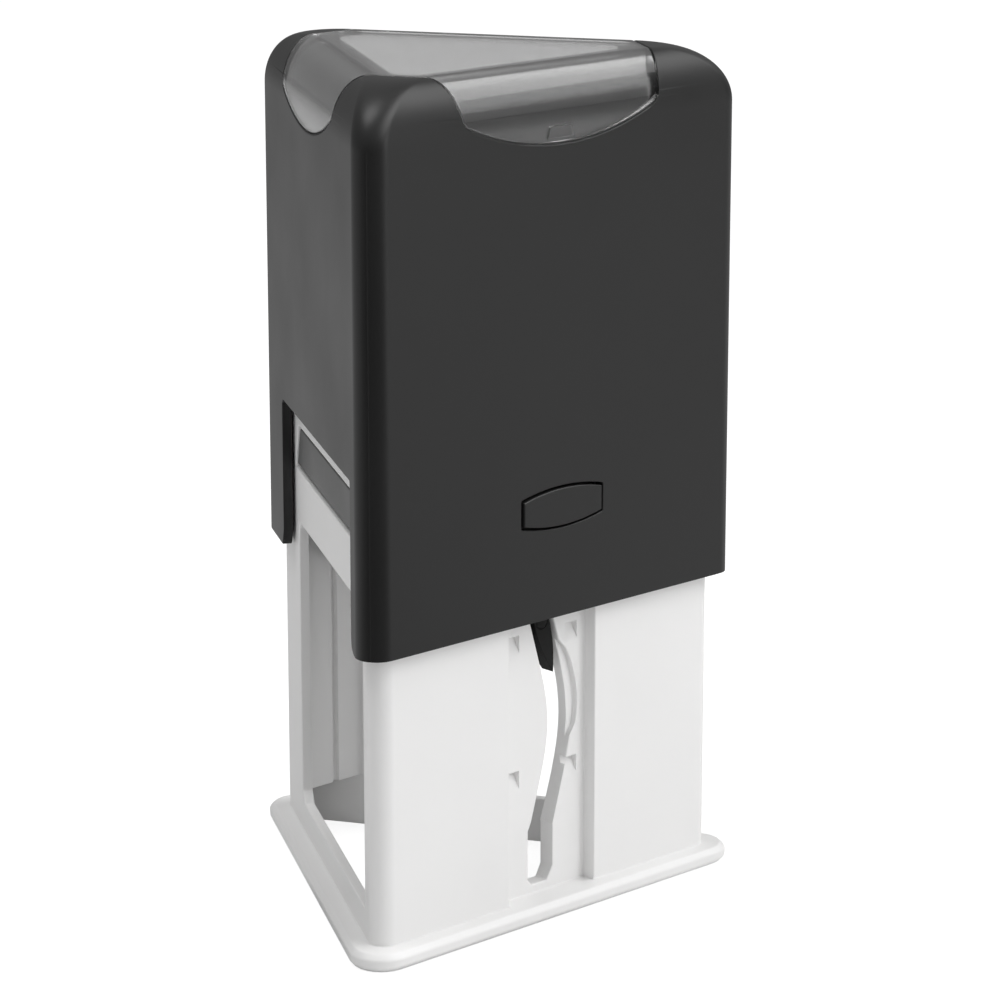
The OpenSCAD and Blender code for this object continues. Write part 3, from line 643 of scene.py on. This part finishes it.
def spring_tree():
    kinds = [(label, "NodeSocketFloat") for label in ("Turns", "Coil Radius", "Height", "Wire Radius")]
    kinds.append(("Material", "NodeSocketMaterial"))
    tree, given, out = node_tree("coil_spring", kinds)
    spiral = tree.nodes.new("GeometryNodeCurveSpiral")
    spiral.inputs["Resolution"].default_value = COIL_N
    wire = tree.nodes.new("GeometryNodeCurvePrimitiveCircle")
    wire.inputs["Resolution"].default_value = WIRE_N
    sweep = tree.nodes.new("GeometryNodeCurveToMesh")
    sweep.inputs["Fill Caps"].default_value = True
    tree.links.new(given.outputs["Turns"], spiral.inputs["Rotations"])
    tree.links.new(given.outputs["Coil Radius"], spiral.inputs["Start Radius"])
    tree.links.new(given.outputs["Coil Radius"], spiral.inputs["End Radius"])
    tree.links.new(given.outputs["Height"], spiral.inputs["Height"])
    tree.links.new(given.outputs["Wire Radius"], wire.inputs["Radius"])
    tree.links.new(spiral.outputs["Curve"], sweep.inputs["Curve"])
    tree.links.new(wire.outputs["Curve"], sweep.inputs["Profile Curve"])
    end_tree(tree, given, sweep.outputs["Mesh"], out)
    return tree


def make_spring(steel):
    sizes = {"Turns": float(SPRING_TURNS), "Coil Radius": SPRING_R * MM, "Wire Radius": WIRE_R * MM,
             "Height": (SPRING_HIGH - SPRING_LOW) * MM, "Material": steel}
    spring = grow_tree("steel_spring", spring_tree(), sizes)
    spring.data.transform(Matrix.Translation(part_point(0, 0, SPRING_LOW)))
    face_outwards(spring.data)
    spring.data.shade_smooth()
    return spring


def lines_tree():
    kinds = [("Count", "NodeSocketInt"), ("Pitch", "NodeSocketVector"), ("Bar", "NodeSocketVector"),
             ("Material", "NodeSocketMaterial")]
    tree, given, out = node_tree("print_lines", kinds)
    row = tree.nodes.new("GeometryNodeMeshLine")
    bar = tree.nodes.new("GeometryNodeMeshCube")
    place = tree.nodes.new("GeometryNodeInstanceOnPoints")
    tree.links.new(given.outputs["Count"], row.inputs["Count"])
    tree.links.new(given.outputs["Pitch"], row.inputs["Offset"])
    tree.links.new(given.outputs["Bar"], bar.inputs["Size"])
    tree.links.new(row.outputs["Mesh"], place.inputs["Points"])
    tree.links.new(bar.outputs["Mesh"], place.inputs["Instance"])
    end_tree(tree, given, place.outputs["Instances"], out)
    return tree


def make_print_lines(rubber):
    """Raised lines of the text die, blank in place of words."""
    depth = DIE_RELIEF + LINE_ROOT
    sizes = {"Count": LINE_COUNT, "Pitch": (0, LINE_PITCH * MM, 0), "Material": rubber,
             "Bar": (LINE_LENGTH * MM, LINE_W * MM, depth * MM)}
    lines = grow_tree("print_lines", lines_tree(), sizes)
    lines.data.transform(Matrix.Translation(part_point(0, LINE_FROM, DIE_TOP - depth / 2)))
    return round_edges(lines, DIE_EDGE, FINE_STEPS)


def digit_type(name, text, middle):
    """Raised digits, mirrored as printing type is, with their upper face flat."""
    curve = bpy.data.curves.new(name, "FONT")
    curve.body = text
    curve.size = DIGIT_SIZE * MM
    curve.extrude = DIGIT_RELIEF * MM
    curve.align_x = "CENTER"
    curve.align_y = "CENTER"
    words = link(bpy.data.objects.new(name, curve))
    graph = bpy.context.evaluated_depsgraph_get()
    mesh = bpy.data.meshes.new_from_object(words.evaluated_get(graph))
    bpy.data.objects.remove(words)
    mesh.transform(Matrix.Translation(middle) @ Matrix.Diagonal((-1, 1, 1, 1)))
    face_outwards(mesh, NODE_WELD)
    return link(bpy.data.objects.new(name, mesh))


def band_loop(drum_r, end_r):
    """Outline of a band round the drum below and the bridge above, over Y and Z."""
    lean = math.asin((drum_r - end_r) / (BAND_END_Z - DATE_Z))
    points = []
    for z, r, first, last in ((BAND_END_Z, end_r, lean, math.pi - lean),
                              (DATE_Z, drum_r, math.pi - lean, 2 * math.pi + lean)):
        for i in range(BAND_N + 1):
            a = first + (last - first) * i / BAND_N
            points.append((DATE_Y + r * math.cos(a), z + r * math.sin(a)))
    return points


def make_band(node, text):
    """Date band with raised digits where it turns over the bridge."""
    low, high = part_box(node)

    def place(y, z, end):
        return part_point((low.x + (high.x - low.x) * end) / MM, y, z)

    drum_r = BAND_DRUM_R - DIGIT_RELIEF
    end_r = BAND_END_R - DIGIT_RELIEF
    band = prism(node + "_rubber", band_loop(drum_r, end_r), place)
    inner = BAND_T - DIGIT_RELIEF

    def place_inside(y, z, end):
        return part_point((low.x + (high.x - low.x) * (2 * end - 0.5)) / MM, y, z)

    boolean(band, prism("hollow", band_loop(drum_r - inner, end_r - inner), place_inside), "DIFFERENCE")
    round_edges(band, BAND_EDGE, FINE_STEPS)
    middle = Vector(((low.x + high.x) / 2, part_point(0, DATE_Y, 0).y, high.z - DIGIT_RELIEF * MM))
    return band, digit_type(node + "_digits", text, middle)


def node_copy(node):
    """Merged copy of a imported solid, so that its edges can be rounded."""
    bm = bmesh.new()
    bm.from_mesh(frame["nodes"][node].data)
    bmesh.ops.remove_doubles(bm, verts=bm.verts, dist=NODE_WELD * MM)
    return mesh_object(node + "_finish", bm)


# Materials


def grain_group():
    """Fine surface grain with a slow drift of colour and gloss, on Object coordinates."""
    tree = bpy.data.node_groups.new("surface_grain", "ShaderNodeTree")
    for label in ("Deep", "Pale"):
        tree.interface.new_socket(label, in_out="INPUT", socket_type="NodeSocketColor")
    for label in ("Glossy", "Dull", "Grain", "Drift"):
        tree.interface.new_socket(label, in_out="INPUT", socket_type="NodeSocketFloat")
    tree.interface.new_socket("Colour", in_out="OUTPUT", socket_type="NodeSocketColor")
    for label in ("Roughness", "Height"):
        tree.interface.new_socket(label, in_out="OUTPUT", socket_type="NodeSocketFloat")
    given = tree.nodes.new("NodeGroupInput")
    out = tree.nodes.new("NodeGroupOutput")
    place = tree.nodes.new("ShaderNodeTexCoord")
    fine = tree.nodes.new("ShaderNodeTexNoise")
    fine.inputs["Detail"].default_value = GRAIN_DETAIL
    slow = tree.nodes.new("ShaderNodeTexNoise")
    slow.inputs["Detail"].default_value = DRIFT_DETAIL
    blend = tree.nodes.new("ShaderNodeMix")
    blend.data_type = "RGBA"
    gloss = tree.nodes.new("ShaderNodeMapRange")
    gloss.inputs["From Min"].default_value = DRIFT_RANGE[0]
    gloss.inputs["From Max"].default_value = DRIFT_RANGE[1]
    links = tree.links
    links.new(place.outputs["Object"], fine.inputs["Vector"])
    links.new(place.outputs["Object"], slow.inputs["Vector"])
    links.new(given.outputs["Grain"], fine.inputs["Scale"])
    links.new(given.outputs["Drift"], slow.inputs["Scale"])
    links.new(slow.outputs["Fac"], blend.inputs["Factor"])
    links.new(given.outputs["Deep"], blend.inputs[6])
    links.new(given.outputs["Pale"], blend.inputs[7])
    links.new(slow.outputs["Fac"], gloss.inputs["Value"])
    links.new(given.outputs["Glossy"], gloss.inputs["To Min"])
    links.new(given.outputs["Dull"], gloss.inputs["To Max"])
    links.new(blend.outputs[2], out.inputs["Colour"])
    links.new(gloss.outputs["Result"], out.inputs["Roughness"])
    links.new(fine.outputs["Fac"], out.inputs["Height"])
    return tree


def grained(name, deep, pale, gloss, grain, drift, bump, distance=0.02, **sockets):
    """Material with the shared grain: colours, range of roughness, scales per metre and bump."""
    material = bpy.data.materials.new(name)
    material.use_nodes = True
    tree = material.node_tree
    shader = tree.nodes["Principled BSDF"]
    group = tree.nodes.new("ShaderNodeGroup")
    group.node_tree = GRAIN
    group.inputs["Deep"].default_value = (*deep, 1)
    group.inputs["Pale"].default_value = (*pale, 1)
    group.inputs["Glossy"].default_value = gloss[0]
    group.inputs["Dull"].default_value = gloss[1]
    group.inputs["Grain"].default_value = grain
    group.inputs["Drift"].default_value = drift
    relief = tree.nodes.new("ShaderNodeBump")
    relief.inputs["Strength"].default_value = bump
    relief.inputs["Distance"].default_value = distance * MM
    tree.links.new(group.outputs["Colour"], shader.inputs["Base Color"])
    tree.links.new(group.outputs["Roughness"], shader.inputs["Roughness"])
    tree.links.new(group.outputs["Height"], relief.inputs["Height"])
    tree.links.new(relief.outputs["Normal"], shader.inputs["Normal"])
    for socket, value in sockets.items():
        shader.inputs[socket.replace("_", " ")].default_value = value
    MATERIALS[name] = material


def grey(level, warm=0.0):
    return (level * (1 + warm), level, level * (1 - warm))


def make_materials():
    """One material for each finish of the stamp."""
    grained("white_plastic", grey(0.83, 0.004), grey(0.87, 0.004), (0.36, 0.46), 2600, 60, 0.12)
    grained("black_plastic", grey(0.012), grey(0.016), (0.38, 0.43), 3200, 55, 0.22)
    grained("black_inner_plastic", grey(0.008), grey(0.012), (0.55, 0.68), 2400, 60, 0.2,
            Specular_IOR_Level=0.25)
    grained("grey_plastic", grey(0.115), grey(0.14), (0.42, 0.55), 2600, 70, 0.2)
    grained("clear_plastic", grey(0.93), grey(0.96), (0.1, 0.13), 900, 40, 0.004,
            Transmission_Weight=1.0, IOR=1.46)
    grained("card", grey(0.9), grey(0.93), (0.75, 0.9), 5200, 140, 0.3)
    grained("ink_felt", (0.006, 0.006, 0.02), (0.02, 0.02, 0.06), (0.8, 0.95), 4200, 400, 0.9, 0.25,
            Sheen_Weight=0.25)
    grained("foam", grey(0.2), grey(0.3), (0.8, 0.95), 3000, 500, 0.8, 0.15)
    grained("die_rubber", (0.15, 0.07, 0.055), (0.2, 0.1, 0.08), (0.55, 0.7), 2200, 90, 0.25)
    grained("band_rubber", grey(0.05), grey(0.08), (0.6, 0.75), 2400, 120, 0.25)
    grained("wheel_plastic", grey(0.72, 0.01), grey(0.78, 0.01), (0.35, 0.48), 2200, 90, 0.12)
    grained("spring_steel", grey(0.5), grey(0.62), (0.22, 0.36), 5000, 300, 0.1, Metallic=1.0)
    let_light_through(MATERIALS["clear_plastic"])


# Camera, light and floor


def join_values(tree, operation, first, second):
    node = tree.nodes.new("ShaderNodeMath")
    node.operation = operation
    node.use_clamp = True
    tree.links.new(first, node.inputs[0])
    tree.links.new(second, node.inputs[1])
    return node.outputs["Value"]


def shader_mix(tree, factor, first, second):
    node = tree.nodes.new("ShaderNodeMixShader")
    tree.links.new(factor, node.inputs["Fac"])
    tree.links.new(first, node.inputs[1])
    tree.links.new(second, node.inputs[2])
    return node.outputs["Shader"]


def mirror_rays(tree, path):
    """Rays that show the studio in glossy plastic or through the clear window."""
    through = path.outputs["Is Transmission Ray"]
    return join_values(tree, "MAXIMUM", path.outputs["Is Glossy Ray"], through)


def let_light_through(material):
    """Lamps and bounced light reach what lies under the clear plastic."""
    tree = material.node_tree
    path = tree.nodes.new("ShaderNodeLightPath")
    light = join_values(tree, "MAXIMUM", path.outputs["Is Shadow Ray"], path.outputs["Is Diffuse Ray"])
    open_air = tree.nodes.new("ShaderNodeBsdfTransparent")
    open_air.inputs["Color"].default_value = (*grey(CLEAR_TINT), 1)
    both = shader_mix(tree, light, tree.nodes["Principled BSDF"].outputs["BSDF"], open_air.outputs["BSDF"])
    tree.links.new(both, tree.nodes["Material Output"].inputs["Surface"])


def make_camera():
    data = bpy.data.cameras.new("camera")
    data.lens = PICTURE_LENS
    data.sensor_width = SENSOR
    data.clip_start = CLIP_NEAR
    data.clip_end = CLIP_FAR
    camera = link(bpy.data.objects.new("camera", data))
    camera.location = CAMERA_AT
    camera.rotation_euler = (math.radians(90 - CAMERA_TILT), 0, math.radians(CAMERA_TURN))
    bpy.context.scene.camera = camera


def float_mix(tree, factor, low, high):
    """Mix of two strengths, each a number or a socket."""
    node = tree.nodes.new("ShaderNodeMix")
    tree.links.new(factor, node.inputs["Factor"])
    for socket, value in ((node.inputs[2], low), (node.inputs[3], high)):
        if isinstance(value, float):
            socket.default_value = value
        else:
            tree.links.new(value, socket)
    return node.outputs[0]


def map_range(tree, value, start, end, low, high):
    node = tree.nodes.new("ShaderNodeMapRange")
    node.interpolation_type = "SMOOTHSTEP"
    tree.links.new(value, node.inputs["Value"])
    for label, number in (("From Min", start), ("From Max", end), ("To Min", low), ("To Max", high)):
        node.inputs[label].default_value = number
    return node.outputs["Result"]


def make_world():
    """White to the camera, an even fill on the stamp, and a dimmer sky in reflections.

    Through the clear window it is white below the horizon and fades to that sky above it.
    """
    world = bpy.data.worlds.new("studio")
    world.use_nodes = True
    bpy.context.scene.world = world
    tree = world.node_tree
    background = tree.nodes["Background"]
    background.inputs["Color"].default_value = (1, 1, 1, 1)
    path = tree.nodes.new("ShaderNodeLightPath")
    place = tree.nodes.new("ShaderNodeTexCoord")
    split = tree.nodes.new("ShaderNodeSeparateXYZ")
    tree.links.new(place.outputs["Generated"], split.inputs["Vector"])
    low = map_range(tree, split.outputs["Y"], -SKY_TURN, SKY_TURN, SKY_FRONT, SKY_BACK)
    height = map_range(tree, split.outputs["Z"], 0.0, SKY_RISE, 0.0, 1.0)
    sky = float_mix(tree, height, low, SKY_HIGH)
    mirrored = float_mix(tree, mirror_rays(tree, path), FILL, sky)
    level = map_range(tree, split.outputs["Z"], 0.0, SKY_CLEAR, 1.0, 0.0)
    through = join_values(tree, "MULTIPLY", path.outputs["Is Transmission Ray"], level)
    white = join_values(tree, "MAXIMUM", path.outputs["Is Camera Ray"], through)
    strength = float_mix(tree, white, mirrored, 1.0)
    tree.links.new(strength, background.inputs["Strength"])


def diffuse(tree, level):
    node = tree.nodes.new("ShaderNodeBsdfDiffuse")
    node.inputs["Color"].default_value = (*grey(level), 1)
    return node.outputs["BSDF"]


def vector_math(tree, operation, vector):
    node = tree.nodes.new("ShaderNodeVectorMath")
    node.operation = operation
    tree.links.new(vector, node.inputs[0])
    return node


def floor_material():
    """White with a faint shadow to the camera, and a plain pale floor for bounced light.

    In reflections it is graded, dark on the camera's side, and through the clear window it has painted shade close
    to the stamp and is white further off.
    """
    material = bpy.data.materials.new("studio_floor")
    material.use_nodes = True
    tree = material.node_tree
    tree.nodes.remove(tree.nodes["Principled BSDF"])
    path = tree.nodes.new("ShaderNodeLightPath")
    glow = tree.nodes.new("ShaderNodeEmission")
    glow.inputs["Strength"].default_value = FLOOR_GLOW
    white = tree.nodes.new("ShaderNodeAddShader")
    tree.links.new(diffuse(tree, FLOOR_SHADE), white.inputs[0])
    tree.links.new(glow.outputs["Emission"], white.inputs[1])
    bounce = diffuse(tree, FLOOR_BOUNCE)
    plain = shader_mix(tree, path.outputs["Is Camera Ray"], bounce, white.outputs["Shader"])
    place = tree.nodes.new("ShaderNodeTexCoord").outputs["Object"]
    unit = vector_math(tree, "NORMALIZE", place).outputs["Vector"]
    aside = vector_math(tree, "DOT_PRODUCT", unit)
    aside.inputs[1].default_value = DARK_SIDE
    reach = vector_math(tree, "LENGTH", place).outputs["Value"]
    turned = map_range(tree, aside.outputs["Value"], DARK_FROM, DARK_FULL, FLOOR_MIRROR, DARK_LEVEL)
    faded = map_range(tree, reach, FLOOR_NEAR, FLOOR_FAR, 1.0, FLOOR_FAR_LEVEL)
    mirror = tree.nodes.new("ShaderNodeEmission")
    tree.links.new(join_values(tree, "MULTIPLY", turned, faded), mirror.inputs["Strength"])
    mirrored = shader_mix(tree, mirror_rays(tree, path), plain, mirror.outputs["Emission"])
    # Seen through the clear window the floor glows darker close to the stamp: painted shade.
    behind = tree.nodes.new("ShaderNodeEmission")
    paler = map_range(tree, reach, THROUGH_NEAR, THROUGH_FAR, THROUGH_SHADE, 1.0)
    tree.links.new(paler, behind.inputs["Strength"])
    through = shader_mix(tree, path.outputs["Is Transmission Ray"], mirrored, behind.outputs["Emission"])
    tree.links.new(through, tree.nodes["Material Output"].inputs["Surface"])
    return material


def make_floor():
    mesh = bpy.data.meshes.new("floor")
    corners = [(u, v, 0) for u, v in box_outline(-FLOOR_HALF, FLOOR_HALF, -FLOOR_HALF, FLOOR_HALF)]
    mesh.from_pydata(corners, [], [(0, 1, 2, 3)])
    floor = link(bpy.data.objects.new("floor", mesh))
    floor.data.materials.append(floor_material())


def area_lamp(name, azimuth, elevation, distance, size, power):
    """Softbox seen from the stamp at an azimuth and an elevation, in degrees."""
    data = bpy.data.lights.new(name, "AREA")
    data.shape = "RECTANGLE"
    data.size, data.size_y = size
    data.energy = power
    lamp = link(bpy.data.objects.new(name, data))
    a = math.radians(azimuth)
    e = math.radians(elevation)
    aim = Vector((0, 0, LAMP_AIM_Z))
    at = aim + distance * Vector((math.cos(a) * math.cos(e), math.sin(a) * math.cos(e), math.sin(e)))
    lamp.location = at
    lamp.rotation_euler = (aim - at).to_track_quat("-Z", "Y").to_euler()
    lamp.visible_camera = False


def dress(piece, material, body, *nodes):
    """Gives a piece its finish and its place in the stamp."""
    piece.data.materials.clear()
    piece.data.materials.append(MATERIALS[material])
    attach(piece, body)
    if nodes:
        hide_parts(*nodes)


bpy.context.scene.view_settings.view_transform = "Standard"
make_camera()
make_world()
make_floor()
area_lamp("key_softbox", *KEY)
area_lamp("front_softbox", *FRONT)
area_lamp("low_softbox", *LOW)
area_lamp("side_softbox", *SIDE)

GRAIN = grain_group()
MATERIALS = {}
make_materials()
BODIES = frame["record"]["behaviour"]["bodies"]
BODY_OF = {node: body for body, nodes in BODIES.items() for node in nodes}

dress(make_housing(), "black_plastic", "cap", "housing")
dress(make_window(), "clear_plastic", "window", "index_window")
for node, (material, edge) in FINISHES.items():
    dress(round_edges(node_copy(node), edge), material, BODY_OF[node], node)
dress(make_text_die(), "die_rubber", "platen", "text_die")
dress(make_print_lines(MATERIALS["die_rubber"]), "die_rubber", "platen")
for node, text in DATE_TEXT.items():
    band, digits = make_band(node, text)
    dress(band, "band_rubber", "platen", node)
    dress(digits, "band_rubber", "platen")

spring = make_spring(MATERIALS["spring_steel"])
dress(spring, "spring_steel", "frame", "return_spring")
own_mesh(spring)
